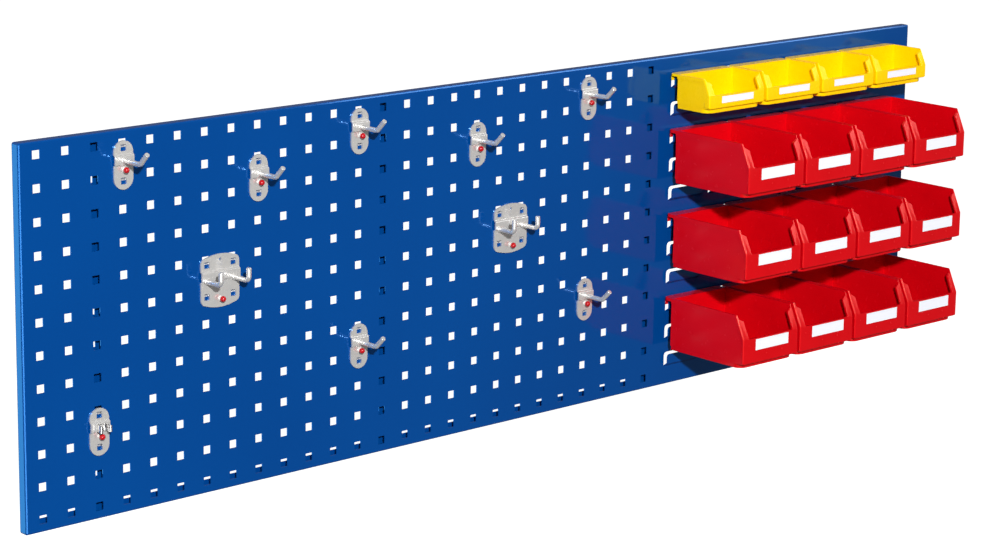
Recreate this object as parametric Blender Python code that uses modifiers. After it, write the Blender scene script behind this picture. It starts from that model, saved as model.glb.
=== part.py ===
"""Steel tool panel: square-punched on the left, louvred on the right, with plug-in holders and hanging bins.

Metres, +Z up. The wall is the plane y = 0 and everything stands out of it along -Y. The origin is on the
wall, at the middle of the rear face of the panel's top return lip. In the outlines below, "out" is the
distance from the panel's front face away from the wall, and heights run up.
"""

import math

import bmesh
import bpy
from mathutils import Matrix, Vector

# Panel
PITCH = 0.038
COLUMNS = 26
ROWS = 12
LOUVRE_FIRST_COLUMN = 26
LOUVRES_ACROSS = 6
WIDTH = 1.490
SIDE_MARGIN = 0.023
END_MARGIN = 0.015
DEPTH = 0.014
SHEET = 0.0015
FOLD_RADIUS = 0.002
LIP = 0.012
HOLE = 0.010
HEIGHT = (ROWS - 1) * PITCH + 2 * END_MARGIN
TOP = LIP / 2
FRONT = -DEPTH
FIRST_COLUMN_X = -WIDTH / 2 + SIDE_MARGIN
FIRST_ROW_Z = TOP - END_MARGIN
GAP = 0.0003

# Louvres, measured from their fold line
LOUVRE_LENGTH = 0.060
LOUVRE_SLOT = 0.0192
LOUVRE_DROP = 0.72 * PITCH
LOUVRE_CORNER = 0.0044
FLAP_INSET = 0.0006
FLAP_OUT = 0.0050
FLAP_TOP = 0.0172

# Stiffener channels
STIFFENER_COLUMNS = (2, 13, 25, 36)
STIFFENER_WIDTH = 0.040
STIFFENER_SHEET = 0.00125
STIFFENER_HOLE_ROWS = (1, 5, 6, 10)
STIFFENER_HOLE = 0.010

# Holders, measured from the centre of the panel hole that takes the upper left claw
PLATE = 0.002
PLATE_WIDTH = 0.026
PLATE_TOP = 0.003
PLATE_BOTTOM = -0.053
WINDOW = 0.0077
WINDOW_DROP = 0.0052
BAND_TOP = -0.012
BAND_BOTTOM = -0.026
BAND_RISE = 0.0025
CLAW_WIDTH = 0.0054
CLAW_DROP = 0.004
ROD = 0.006
ROD_DROP = 0.0195
ROD_REACH = 0.035
ROD_RISE = 0.0135
PLUG_DROP = 0.030
PLUG_HOLE = 0.0054
DOUBLE_WIDTH = 0.055
DOUBLE_HALF_HEIGHT = 0.0318
DOUBLE_CROWN = 0.006
DOUBLE_CENTRE_DROP = 0.0254
DOUBLE_ROD_SPACING = 0.040
DOUBLE_ROD_DROP = 0.024
DOUBLE_ROD_REACH = 0.031
DOUBLE_ROD_RISE = 0.016
DOUBLE_PLUG_DROP = 0.047
SINGLE_PLACES = ((3, 0), (8, 1), (12, 0), (17, 1), (22, 0), (12, 7), (22, 7))
DOUBLE_PLACES = ((6, 4), (18, 4))
CLIP_PLACE = (2, 8)
CLIP_HEIGHT = 0.008
CLIP_SHEET = 0.0008
RIVET_HOLE = 0.0044

# Bins: heights are measured down from the rim, reaches out from the panel's front face
BIN_WIDTH = 0.105
BIN_PITCH = 0.110
BINS_ACROSS = 4
BIN_FIRST_X = FIRST_COLUMN_X + 25.85 * PITCH
BIN_BACK = 0.0165
BIN_LIP_BACK = 0.0016
BIN_RETURN = 0.0024
BIN_RETURN_DROP = 0.0065
BIN_LIP_CORNER = 0.0065
WING = 0.010
LABEL_SHEET = 0.0005
RED_BIN = {
    "row": (2, 5, 8),
    "lip": 0.0042,
    "wall": 0.0023,
    "rim_front": 0.1360,
    "front": 0.1505,
    "sill": 0.0310,
    "underside": 0.0650,
    "foot": 0.0710,
    "foot_set_back": 0.0060,
    "label": (0.0240, 0.0870, 0.0332, 0.0480),
}
YELLOW_BIN = {
    "row": (0,),
    "lip": 0.0032,
    "wall": 0.0020,
    "rim_front": 0.0655,
    "front": 0.0760,
    "sill": 0.0215,
    "underside": 0.0390,
    "foot": 0.0455,
    "foot_set_back": 0.0045,
    "label": (0.0240, 0.0840, 0.0236, 0.0326),
}

OBJECT_NAME = "pegboard_tool_wall"


def clear_scene():
    for obj in list(bpy.data.objects):
        bpy.data.objects.remove(obj, do_unlink=True)


def new_collection(name, hidden=False):
    made = bpy.data.collections.new(name)
    made.hide_render = hidden
    bpy.context.scene.collection.children.link(made)
    return made


def principled(name, colour, roughness, metallic=0.0):
    made = bpy.data.materials.new(name)
    made.use_nodes = True
    shader = made.node_tree.nodes["Principled BSDF"]
    shader.inputs["Base Color"].default_value = (*colour, 1.0)
    shader.inputs["Roughness"].default_value = roughness
    shader.inputs["Metallic"].default_value = metallic
    return made


def column_x(column):
    return FIRST_COLUMN_X + column * PITCH


def row_z(row):
    return FIRST_ROW_Z - row * PITCH


def link(mesh, name, group, where=(0, 0, 0), material=None):
    obj = bpy.data.objects.new(name, mesh)
    obj.location = where
    group.objects.link(obj)
    if material is not None and not mesh.materials:
        mesh.materials.append(material)
    return obj


def cutter(mesh, name):
    obj = link(mesh, name, CUTTERS)
    obj.hide_render = True
    obj.display_type = "WIRE"
    return obj


def boxes(name, spans):
    """One mesh of separate boxes, each given by its low and its high corner."""
    made = bmesh.new()
    for low, high in spans:
        low, high = Vector(low), Vector(high)
        place = Matrix.Translation((low + high) / 2) @ Matrix.Diagonal((*(high - low), 1))
        bmesh.ops.create_cube(made, size=1.0, matrix=place)
    mesh = bpy.data.meshes.new(name)
    made.to_mesh(mesh)
    made.free()
    return mesh


def evaluated_mesh(obj):
    """The object's mesh with its modifiers applied, welded and in world space; the object is removed."""
    bpy.context.view_layer.update()
    graph = bpy.context.evaluated_depsgraph_get()
    mesh = bpy.data.meshes.new_from_object(obj.evaluated_get(graph))
    made = bmesh.new()
    made.from_mesh(mesh)
    bmesh.ops.remove_doubles(made, verts=made.verts, dist=1e-6)
    made.transform(obj.matrix_world)
    bmesh.ops.recalc_face_normals(made, faces=made.faces)
    made.to_mesh(mesh)
    made.free()
    bpy.data.objects.remove(obj, do_unlink=True)
    return mesh


def poly_curve(name, points, closed):
    curve = bpy.data.curves.new(name, "CURVE")
    spline = curve.splines.new("POLY")
    spline.points.add(len(points) - 1)
    for place, point in zip(spline.points, points):
        place.co = (*point, *([0.0] * (3 - len(point))), 1.0)
    spline.use_cyclic_u = closed
    return curve


def across(name, outline, low_x, high_x):
    """A prism along X whose outline is a list of (out, height)."""
    curve = poly_curve(name, [(-out, height) for out, height in outline], True)
    curve.dimensions = "2D"
    curve.fill_mode = "BOTH"
    curve.extrude = (high_x - low_x) / 2
    obj = link(curve, name, CUTTERS)
    turn = Matrix(((0, 0, 1), (1, 0, 0), (0, 1, 0))).to_4x4()
    obj.matrix_world = Matrix.Translation(((low_x + high_x) / 2, 0, 0)) @ turn
    return evaluated_mesh(obj)


def facing(name, outline, low_out, high_out):
    """A prism along Y whose outline is a list of (x, height)."""
    curve = poly_curve(name, outline, True)
    curve.dimensions = "2D"
    curve.fill_mode = "BOTH"
    curve.extrude = (high_out - low_out) / 2
    obj = link(curve, name, CUTTERS)
    turn = Matrix(((1, 0, 0), (0, 0, -1), (0, 1, 0))).to_4x4()
    obj.matrix_world = Matrix.Translation((0, -(low_out + high_out) / 2, 0)) @ turn
    return evaluated_mesh(obj)


def upright(name, outline, low_z, high_z):
    """A prism along Z whose outline is a list of (x, out)."""
    curve = poly_curve(name, [(x, -out) for x, out in outline], True)
    curve.dimensions = "2D"
    curve.fill_mode = "BOTH"
    curve.extrude = (high_z - low_z) / 2
    return evaluated_mesh(link(curve, name, CUTTERS, (0, 0, (low_z + high_z) / 2)))


def rod(name, points):
    """A round rod through (x, out, height) points."""
    curve = poly_curve(name, [(x, -out, height) for x, out, height in points], False)
    curve.dimensions = "3D"
    curve.bevel_depth = ROD / 2
    curve.bevel_resolution = 2
    curve.use_fill_caps = True
    return evaluated_mesh(link(curve, name, CUTTERS))


def turned(name, profile, steps=16):
    """A solid of revolution along -Y; the profile lists (out, radius) from its outer end to its inner end."""
    mesh = bpy.data.meshes.new(name)
    made = bmesh.new()
    corners = [made.verts.new((radius, 0, out)) for out, radius in profile]
    for first, second in zip(corners, corners[1:]):
        made.edges.new((first, second))
    made.to_mesh(mesh)
    made.free()
    obj = link(mesh, name, CUTTERS)
    obj.matrix_world = Matrix(((1, 0, 0), (0, 0, -1), (0, 1, 0))).to_4x4()
    screw = obj.modifiers.new("turn", "SCREW")
    screw.steps = screw.render_steps = steps
    screw.use_merge_vertices = True
    screw.merge_threshold = 1e-5
    return evaluated_mesh(obj)


def joined(mesh, name, steps):
    """The mesh after Boolean steps, each given as (operation, other mesh)."""
    obj = link(mesh, name, CUTTERS)
    for number, (operation, other) in enumerate(steps):
        step = obj.modifiers.new(f"{operation.lower()}_{number}", "BOOLEAN")
        step.operation = operation
        step.solver = "EXACT"
        step.object = cutter(other, f"{name}_tool_{number}")
    return evaluated_mesh(obj)


def arc(centre, radius, start, end, steps):
    """Points of an arc in degrees, ends included."""
    turns = [math.radians(start + (end - start) * i / steps) for i in range(steps + 1)]
    return [(centre[0] + radius * math.cos(t), centre[1] + radius * math.sin(t)) for t in turns]


def smooth_rounds(mesh, angle=35):
    mesh.shade_smooth()
    mesh.set_sharp_from_angle(angle=math.radians(angle))


# ---------------------------------------------------------------- panel


def tray_surface():
    """The folded blank's outer surface: front, four flanges and four return lips, open at the back."""
    made = bmesh.new()
    bmesh.ops.create_cube(made, size=1.0, matrix=Matrix.Diagonal((WIDTH, DEPTH, HEIGHT, 1)))
    bmesh.ops.translate(made, verts=made.verts, vec=(0, FRONT / 2, TOP - HEIGHT / 2))
    rear = [face for face in made.faces if face.normal.y > 0.5]
    bmesh.ops.inset_region(made, faces=rear, thickness=LIP, use_even_offset=True)
    bmesh.ops.delete(made, geom=rear, context="FACES_ONLY")
    mesh = bpy.data.meshes.new("tray")
    made.to_mesh(mesh)
    made.free()
    return mesh


def punched_holes():
    spans = []
    for column in range(COLUMNS):
        for row in range(ROWS):
            x, z = column_x(column), row_z(row)
            low = (x - HOLE / 2, FRONT - SHEET, z - HOLE / 2)
            high = (x + HOLE / 2, FRONT + 3 * SHEET, z + HOLE / 2)
            spans.append((low, high))
    return spans


def louvre_places():
    for row in range(ROWS - 1):
        for number in range(LOUVRES_ACROSS):
            yield column_x(LOUVRE_FIRST_COLUMN + 2 * number), row_z(row) - LOUVRE_DROP


def at_louvres(name, mesh):
    """One mesh with a copy of the given one at every louvre."""
    made = bmesh.new()
    for x, fold in louvre_places():
        before = len(made.verts)
        made.from_mesh(mesh)
        fresh = list(made.verts)[before:]
        bmesh.ops.translate(made, verts=fresh, vec=(x, FRONT, fold))
    copies = bpy.data.meshes.new(name)
    made.to_mesh(copies)
    made.free()
    return copies


def round_topped(inset, bottom, top):
    """An upright rectangle as long as a louvre, less the inset, with its two upper corners rounded."""
    left, right, radius = inset, LOUVRE_LENGTH - inset, LOUVRE_CORNER - inset
    corners = arc((right - radius, top - radius), radius, 0, 90, 2)
    corners += arc((left + radius, top - radius), radius, 90, 180, 2)
    return [(right, bottom)] + corners + [(left, bottom)]


def louvre_slots():
    outline = round_topped(0, 0, LOUVRE_SLOT)
    return at_louvres("slots", facing("slot", outline, -3 * SHEET, SHEET))


def louvre_flaps():
    """Bent strips that rise from the lower edge of each slot, clear of the sheet behind them."""
    inner, outer, over = FLAP_OUT, FLAP_OUT + SHEET, 0.002
    section = [
        (-0.8 * SHEET, -SHEET),
        (-0.8 * SHEET, 0.4 * SHEET),
        (inner, 0.0052),
        (inner, FLAP_TOP + over),
        (outer, FLAP_TOP + over),
        (outer, 0.0044),
        (-0.2 * SHEET, -0.4 * SHEET),
        (-0.2 * SHEET, -SHEET),
    ]
    outline = facing("flap_outline", round_topped(FLAP_INSET, -over, FLAP_TOP), -over, outer + over)
    strip = across("strip", section, 0, LOUVRE_LENGTH)
    return at_louvres("flaps", joined(strip, "flap", [("INTERSECT", outline)]))


def make_panel():
    panel = link(tray_surface(), "panel", PARTS, material=BLUE)
    fold = panel.modifiers.new("folds", "BEVEL")
    fold.width = FOLD_RADIUS
    fold.segments = 2
    fold.limit_method = "ANGLE"
    sheet = panel.modifiers.new("sheet", "SOLIDIFY")
    sheet.thickness = SHEET
    sheet.offset = -1
    sheet.use_even_offset = True
    punch = panel.modifiers.new("punching", "BOOLEAN")
    punch.operation = "DIFFERENCE"
    punch.solver = "EXACT"
    punch.object = cutter(boxes("punches", punched_holes()), "punches")
    slot = panel.modifiers.new("slots", "BOOLEAN")
    slot.operation = "DIFFERENCE"
    slot.solver = "EXACT"
    slot.object = cutter(louvre_slots(), "slots")
    louvre = panel.modifiers.new("louvres", "BOOLEAN")
    louvre.operation = "UNION"
    louvre.solver = "EXACT"
    louvre.object = cutter(louvre_flaps(), "flaps")


def make_stiffeners():
    """Channels between the sheet and the return lips, with their web at the back."""
    web_back = -DEPTH + SHEET + GAP
    sheet_side = -SHEET - GAP
    half = STIFFENER_WIDTH / 2
    web_front = web_back + STIFFENER_SHEET
    top = TOP - SHEET - 3 * GAP
    bottom = TOP - HEIGHT + SHEET + 3 * GAP
    outer = ((-half, -sheet_side, bottom), (half, -web_back, top))
    hollow = (
        (-half + STIFFENER_SHEET, -sheet_side - DEPTH, bottom - DEPTH),
        (half - STIFFENER_SHEET, -web_front, top + DEPTH),
    )
    reach = STIFFENER_HOLE / 2
    holes = [
        ((-reach, 0, row_z(row) - reach), (reach, DEPTH, row_z(row) + reach))
        for row in STIFFENER_HOLE_ROWS
    ]
    steps = [("DIFFERENCE", boxes("hollow", [hollow])), ("DIFFERENCE", boxes("web_holes", holes))]
    mesh = joined(boxes("stiffener", [outer]), "stiffener", steps)
    for number, column in enumerate(STIFFENER_COLUMNS, 1):
        link(mesh, f"stiffener_{number}", PARTS, (column_x(column), FRONT, 0), BLUE)


# ---------------------------------------------------------------- holders


def stamped_strip(low_x, high_x, top, bottom):
    """The plate's section, with its raised band, run across the plate."""
    near, far = GAP, GAP + PLATE
    slope, corner = 0.002, 0.0004
    front = [
        (far, top),
        (far, BAND_TOP + corner),
        (far + BAND_RISE, BAND_TOP - slope + corner),
        (far + BAND_RISE, BAND_BOTTOM + slope - corner),
        (far, BAND_BOTTOM - corner),
        (far, bottom),
    ]
    back = [
        (near, bottom),
        (near, BAND_BOTTOM + corner),
        (near + BAND_RISE, BAND_BOTTOM + slope + corner),
        (near + BAND_RISE, BAND_TOP - slope - corner),
        (near, BAND_TOP - corner),
        (near, top),
    ]
    return across("strip", front + back, low_x, high_x)


def stadium():
    reach = PLATE_WIDTH / 2
    upper = arc((0, PLATE_TOP - reach), reach, 0, 180, 10)
    lower = arc((0, PLATE_BOTTOM + reach), reach, 180, 360, 10)
    return upper + lower


def crowned_rectangle():
    """The double plate's outline: crowned above and below, with rounded corners."""
    half, shoulder = DOUBLE_WIDTH / 2, 0.021

    def crown(x):
        return DOUBLE_HALF_HEIGHT - DOUBLE_CROWN * (x / half) ** 2

    upper = [(shoulder * (4 - i) / 4, crown(shoulder * (4 - i) / 4)) for i in range(9)]
    drop = 0.0075
    round_off = [
        (shoulder + (half - shoulder) * math.cos(t), crown(shoulder) - drop + drop * math.sin(t))
        for t in (math.radians(22.5 * i) for i in range(4))
    ]
    right = round_off + upper
    half_outline = right + [(-x, z) for x, z in reversed(round_off)]
    outline = half_outline + [(-x, -z) for x, z in half_outline]
    return [(x + PITCH / 2, z - DOUBLE_CENTRE_DROP) for x, z in outline]


def window_spans(places):
    reach = WINDOW / 2
    return [
        ((x - reach, -0.01, z - WINDOW_DROP - reach), (x + reach, 0.01, z - WINDOW_DROP + reach))
        for x, z in places
    ]


def claw(x, z):
    """A tab bent back from the top of a window, through the panel hole and down behind the sheet."""
    seat = z - HOLE / 2 + GAP
    window_top = z - WINDOW_DROP + WINDOW / 2
    behind = SHEET + GAP
    outline = [
        (GAP + 0.8 * PLATE, window_top + 0.0012),
        (-behind - PLATE, window_top + 0.0012),
        (-behind - PLATE, seat - CLAW_DROP),
        (-behind, seat - CLAW_DROP),
        (-behind, seat),
        (GAP + 0.8 * PLATE, seat),
    ]
    return across("claw", outline, x - CLAW_WIDTH * 0.62, x + CLAW_WIDTH * 0.38)


def plug_bore(x, drop, diameter):
    circle = arc((x, -drop), diameter / 2, 0, 337.5, 15)
    return facing("bore", circle, -0.01, 0.02)


def holder_plate(outline, low_x, high_x, top, bottom, windows, bores):
    """Steps that turn the bent strip into a plate with windows, claws and bores."""
    steps = [("INTERSECT", facing("outline", outline, -0.01, 0.02))]
    steps.append(("DIFFERENCE", boxes("windows", window_spans(windows))))
    steps += [("DIFFERENCE", bore) for bore in bores]
    steps += [("UNION", claw(x, z)) for x, z in windows]
    return stamped_strip(low_x, high_x, top, bottom), steps


def single_plate(bores):
    reach = PLATE_WIDTH
    windows = [(0, 0), (0, -PITCH)]
    return holder_plate(stadium(), -reach, reach, PLATE_TOP + 0.01, PLATE_BOTTOM - 0.01, windows, bores)


def rod_root():
    return GAP + BAND_RISE + 0.5 * PLATE


def angled_rod():
    """Straight out, then 45 degrees up."""
    bend = 0.004
    swing = arc((ROD_REACH - bend * math.tan(math.radians(22.5)), bend - ROD_DROP), bend, -90, -45, 3)
    points = [(rod_root(), -ROD_DROP)] + swing
    points.append((ROD_REACH + ROD_RISE, ROD_RISE - ROD_DROP))
    return rod("rod", [(0, out, height) for out, height in points])


def upright_rod(x):
    """Straight out, then straight up."""
    bend = 0.005
    swing = arc((DOUBLE_ROD_REACH - bend, bend - DOUBLE_ROD_DROP), bend, -90, 0, 4)
    points = [(rod_root(), -DOUBLE_ROD_DROP)] + swing
    points.append((DOUBLE_ROD_REACH, DOUBLE_ROD_RISE - DOUBLE_ROD_DROP))
    return rod("rod", [(x, out, height) for out, height in points])


def holder_origin(column, row):
    return (column_x(column), FRONT, row_z(row))


def make_single_hooks():
    mesh, steps = single_plate([plug_bore(0, PLUG_DROP, PLUG_HOLE)])
    mesh = joined(mesh, "single_hook", steps + [("UNION", angled_rod())])
    smooth_rounds(mesh)
    for number, place in enumerate(SINGLE_PLACES, 1):
        link(mesh, f"single_hook_{number}", PARTS, holder_origin(*place), ZINC)


def make_double_hooks():
    windows = [(x, z) for x in (0, PITCH) for z in (0, -PITCH)]
    bores = [plug_bore(PITCH / 2, DOUBLE_PLUG_DROP, PLUG_HOLE), plug_bore(PITCH / 2, 0, 0.003)]
    low, high = PITCH / 2 - DOUBLE_WIDTH, PITCH / 2 + DOUBLE_WIDTH
    mesh, steps = holder_plate(crowned_rectangle(), low, high, 0.02, -0.07, windows, bores)
    sides = (PITCH / 2 - DOUBLE_ROD_SPACING / 2, PITCH / 2 + DOUBLE_ROD_SPACING / 2)
    mesh = joined(mesh, "double_hook", steps + [("UNION", upright_rod(x)) for x in sides])
    smooth_rounds(mesh)
    for number, place in enumerate(DOUBLE_PLACES, 1):
        link(mesh, f"double_hook_{number}", PARTS, holder_origin(*place), ZINC)


def clip_line():
    """Half of the clip's bend line as (x, out): base, bowed arm and outward curl."""
    base = [(0.0, 0.0), (0.0038, 0.0)]
    arm = arc((0.0005, 0.0048), 0.0056, -50, 45, 5)
    curl = arc((0.0063, 0.0094), 0.0015, 200, 10, 5)
    return base + arm + curl


def make_tool_clip():
    middle = (BAND_TOP + BAND_BOTTOM) / 2
    band_front = GAP + PLATE + BAND_RISE
    place = holder_origin(*CLIP_PLACE)
    bores = [plug_bore(0, PLUG_DROP, PLUG_HOLE), plug_bore(0, -middle, RIVET_HOLE)]
    mesh, steps = single_plate(bores)
    mesh = joined(mesh, "clip_plate", steps)
    smooth_rounds(mesh)
    link(mesh, "tool_clip_plate", PARTS, place, ZINC)

    half = clip_line()
    line = [(-x, out) for x, out in reversed(half[1:])] + half
    seat = band_front + GAP + CLIP_SHEET / 2
    curve = poly_curve("clip", [(x, -out - seat, middle) for x, out in line], False)
    curve.dimensions = "3D"
    curve.extrude = CLIP_HEIGHT / 2
    ribbon = link(curve, "clip", CUTTERS)
    bpy.context.view_layer.update()
    graph = bpy.context.evaluated_depsgraph_get()
    flat = bpy.data.meshes.new_from_object(ribbon.evaluated_get(graph))
    bpy.data.objects.remove(ribbon, do_unlink=True)
    strip = link(flat, "clip", CUTTERS)
    thick = strip.modifiers.new("sheet", "SOLIDIFY")
    thick.thickness = CLIP_SHEET
    thick.offset = 0
    thick.use_even_offset = True
    clip = joined(evaluated_mesh(strip), "clip", [("DIFFERENCE", plug_bore(0, -middle, RIVET_HOLE))])
    smooth_rounds(clip)
    link(clip, "tool_clip_spring", PARTS, place, SPRING)

    clip_front = seat + CLIP_SHEET / 2 + GAP
    plate_back = GAP + BAND_RISE - GAP
    shank, head = RIVET_HOLE / 2 - GAP, 0.0034
    profile = [
        (clip_front + 0.0012, 0),
        (clip_front + 0.0012, 0.7 * head),
        (clip_front, head),
        (clip_front, shank),
        (plate_back, shank),
        (plate_back, 0.8 * head),
        (plate_back - 0.0012, 0.8 * head),
        (plate_back - 0.0012, 0),
    ]
    rivet = turned("rivet", profile)
    smooth_rounds(rivet)
    x, y, z = place
    link(rivet, "tool_clip_rivet", PARTS, (x, y, z + middle), ZINC)


def make_lock_plugs():
    """Push-in plugs whose foot presses on the panel through the holder plate."""
    head_back = GAP + PLATE + GAP
    shank, ball, centre = PLUG_HOLE / 2 - GAP, 0.0036, head_back + 0.0050
    turns = [math.radians(angle) for angle in (30, 60, 90, 120, 150)]
    profile = [(centre + ball, 0)]
    profile += [(centre + ball * math.cos(turn), ball * math.sin(turn)) for turn in turns]
    profile += [
        (head_back + 0.0008, 0.5 * ball),
        (head_back + 0.0008, 0.0032),
        (head_back, 0.0032),
        (head_back, shank),
        (GAP, shank),
        (GAP, 0),
    ]
    mesh = turned("plug", profile)
    smooth_rounds(mesh)
    places = [(column, row, 0, PLUG_DROP) for column, row in SINGLE_PLACES]
    places += [(column, row, PITCH / 2, DOUBLE_PLUG_DROP) for column, row in DOUBLE_PLACES]
    places.append((*CLIP_PLACE, 0, PLUG_DROP))
    for number, (column, row, aside, drop) in enumerate(places, 1):
        x, y, z = holder_origin(column, row)
        link(mesh, f"lock_plug_{number}", PARTS, (x + aside, y, z - drop), PLUG_RED)


# ---------------------------------------------------------------- bins


def bin_mesh(name, size):
    """Open-fronted bin: rim at height 0, left wall at x = 0, hooking lip at the back."""
    wall, front, sill = size["wall"], size["front"], -size["sill"]
    rim_front, under, foot = size["rim_front"], -size["underside"], -size["foot"]
    slant = (rim_front - front) / -sill
    body = [(BIN_BACK, 0), (rim_front, 0), (front, sill), (front, under), (BIN_BACK, under)]
    shell = across(name, body, 0, BIN_WIDTH)
    inset = wall * math.hypot(1, slant)
    over = 0.004
    cavity = [
        (BIN_BACK + wall, over),
        (rim_front - inset + slant * over, over),
        (front - inset, sill),
        (front - inset, under + wall),
        (BIN_BACK + wall, under + wall),
    ]
    inside = across("inside", cavity, wall, BIN_WIDTH - wall)
    wing_top = 0.18 * sill
    mouth = [
        (rim_front - 4 * wall, over),
        (front + over, over),
        (front + over, wing_top - 0.0001),
        (rim_front - 4 * wall, wing_top - 0.0001),
    ]
    throat = [
        (rim_front - 4 * wall, wing_top),
        (front + over, wing_top),
        (front + over, sill),
        (rim_front - 4 * wall, sill),
    ]
    reach, return_bottom = BIN_BACK + 0.5 * wall, -size["lip"] - BIN_RETURN_DROP
    lip = [
        (reach, -0.0001),
        (BIN_LIP_BACK, -0.0001),
        (BIN_LIP_BACK, return_bottom),
        (BIN_LIP_BACK + BIN_RETURN, return_bottom),
        (BIN_LIP_BACK + BIN_RETURN, -size["lip"]),
        (reach, -size["lip"]),
    ]
    near, far = BIN_LIP_CORNER, BIN_WIDTH - BIN_LIP_CORNER
    plan = [(0.0001, reach + over)]
    plan += arc((near, BIN_LIP_BACK + near), near - 0.0001, 180, 270, 4)
    plan += arc((far, BIN_LIP_BACK + near), near - 0.0001, 270, 360, 4)
    plan += [(BIN_WIDTH - 0.0001, reach + over)]
    rounded = [("INTERSECT", upright("plan", plan, return_bottom - over, over))]
    hook = joined(across("lip", lip, -over, BIN_WIDTH + over), "hook", rounded)
    side, corner = 0.0008, 0.012
    foot_front = front - size["foot_set_back"]
    left, right = side, BIN_WIDTH - side
    base = [(left, BIN_BACK + side)]
    base += arc((left + corner, foot_front - corner), corner, 180, 90, 3)
    base += arc((right - corner, foot_front - corner), corner, 90, 0, 3)
    base += [(right, BIN_BACK + side)]
    x_low, x_high, z_low, z_high = size["label"]
    slack = LABEL_SHEET - 0.0002
    pocket = boxes("pocket", [
        ((x_low - slack, -front - over, -z_high - slack),
         (x_high + slack, -front + LABEL_SHEET + 2 * GAP, -z_low + slack)),
    ])
    return joined(shell, name, [
        ("UNION", upright("foot", base, foot, under + 0.5 * wall)),
        ("DIFFERENCE", inside),
        ("DIFFERENCE", across("mouth", mouth, wall, BIN_WIDTH - wall)),
        ("DIFFERENCE", across("throat", throat, WING, BIN_WIDTH - WING)),
        ("UNION", hook),
        ("DIFFERENCE", pocket),
    ])


def make_bins(colour, size, material):
    mesh = bin_mesh(f"{colour}_bin", size)
    x_low, x_high, z_low, z_high = size["label"]
    front = -size["front"]
    card = boxes("card", [
        ((x_low, front + GAP, -z_high), (x_high, front + GAP + LABEL_SHEET, -z_low)),
    ])
    number = 0
    for row in size["row"]:
        rim = row_z(row) - LOUVRE_DROP + FLAP_TOP + GAP + size["lip"]
        for across_number in range(BINS_ACROSS):
            number += 1
            place = (BIN_FIRST_X + across_number * BIN_PITCH, FRONT, rim)
            link(mesh, f"{colour}_bin_{number}", PARTS, place, material)
            link(card, f"{colour}_bin_label_{number}", PARTS, place, CARD)


clear_scene()
PARTS = new_collection(OBJECT_NAME)
CUTTERS = new_collection("cutters")
BLUE = principled("blue_powder_coat", (0.000, 0.078, 0.350), 0.30)
ZINC = principled("zinc_plate", (0.58, 0.56, 0.53), 0.38, 0.9)
SPRING = principled("spring_steel", (0.50, 0.50, 0.50), 0.25, 1.0)
PLUG_RED = principled("red_plug_plastic", (0.78, 0.02, 0.02), 0.35)
BIN_RED = principled("red_bin_plastic", (0.60, 0.002, 0.006), 0.35)
BIN_YELLOW = principled("yellow_bin_plastic", (1.0, 0.60, 0.0), 0.35)
CARD = principled("label_card", (0.85, 0.85, 0.88), 0.7)
make_panel()
make_stiffeners()
make_single_hooks()
make_double_hooks()
make_tool_clip()
make_lock_plugs()
make_bins("yellow", YELLOW_BIN, BIN_YELLOW)
make_bins("red", RED_BIN, BIN_RED)
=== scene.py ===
"""The tool wall's looks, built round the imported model.

Metres, +Z up, in the CAD's frame: the wall is y = 0 and everything stands out of it along -Y. In the
outlines below, "out" is the distance from the panel's front face away from the wall, so y = -out in a
piece's own axes, and z runs up.
"""

import math

import bmesh
import bpy
from mathutils import Matrix, Vector


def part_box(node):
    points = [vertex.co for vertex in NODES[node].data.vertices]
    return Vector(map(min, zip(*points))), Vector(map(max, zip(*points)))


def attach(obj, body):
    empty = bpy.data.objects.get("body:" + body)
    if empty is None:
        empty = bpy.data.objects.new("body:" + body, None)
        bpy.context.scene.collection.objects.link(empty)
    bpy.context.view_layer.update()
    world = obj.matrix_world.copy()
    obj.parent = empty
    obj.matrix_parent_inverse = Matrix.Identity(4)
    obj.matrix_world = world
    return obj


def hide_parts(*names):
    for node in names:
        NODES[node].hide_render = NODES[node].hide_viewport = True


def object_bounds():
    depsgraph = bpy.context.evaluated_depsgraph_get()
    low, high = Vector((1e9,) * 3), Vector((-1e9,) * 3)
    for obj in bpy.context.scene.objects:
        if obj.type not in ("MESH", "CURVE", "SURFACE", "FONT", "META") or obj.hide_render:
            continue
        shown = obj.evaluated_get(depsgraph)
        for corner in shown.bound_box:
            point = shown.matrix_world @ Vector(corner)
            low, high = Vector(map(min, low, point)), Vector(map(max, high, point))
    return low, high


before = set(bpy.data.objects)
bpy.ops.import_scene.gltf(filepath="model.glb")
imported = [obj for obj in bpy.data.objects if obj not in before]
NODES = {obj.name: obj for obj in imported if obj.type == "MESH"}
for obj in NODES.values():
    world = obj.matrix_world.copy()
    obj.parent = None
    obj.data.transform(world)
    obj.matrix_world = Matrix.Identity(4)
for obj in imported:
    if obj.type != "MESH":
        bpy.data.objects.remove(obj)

CAD_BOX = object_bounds()

# Shared with the CAD; holders are measured from the centre of the panel hole that takes their upper left claw
PITCH = 0.038
PANEL_FRONT = -0.014
SHEET = 0.0015
HOLE = 0.010
GAP = 0.0003
PLATE = 0.002
PLATE_WIDTH = 0.026
PLATE_TOP = 0.003
PLATE_BOTTOM = -0.053
WINDOW = 0.0077
WINDOW_DROP = 0.0052
BAND_TOP = -0.012
BAND_BOTTOM = -0.026
BAND_RISE = 0.0025
CLAW_DROP = 0.004
ROD = 0.006
ROD_DROP = 0.0195
ROD_REACH = 0.035
ROD_RISE = 0.0135
PLUG_DROP = 0.030
PLUG_HOLE = 0.0054
DOUBLE_WIDTH = 0.055
DOUBLE_HALF_HEIGHT = 0.0318
DOUBLE_CROWN = 0.006
DOUBLE_CENTRE_DROP = 0.0254
DOUBLE_ROD_SPACING = 0.040
DOUBLE_ROD_DROP = 0.024
DOUBLE_ROD_REACH = 0.031
DOUBLE_ROD_RISE = 0.016
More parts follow.
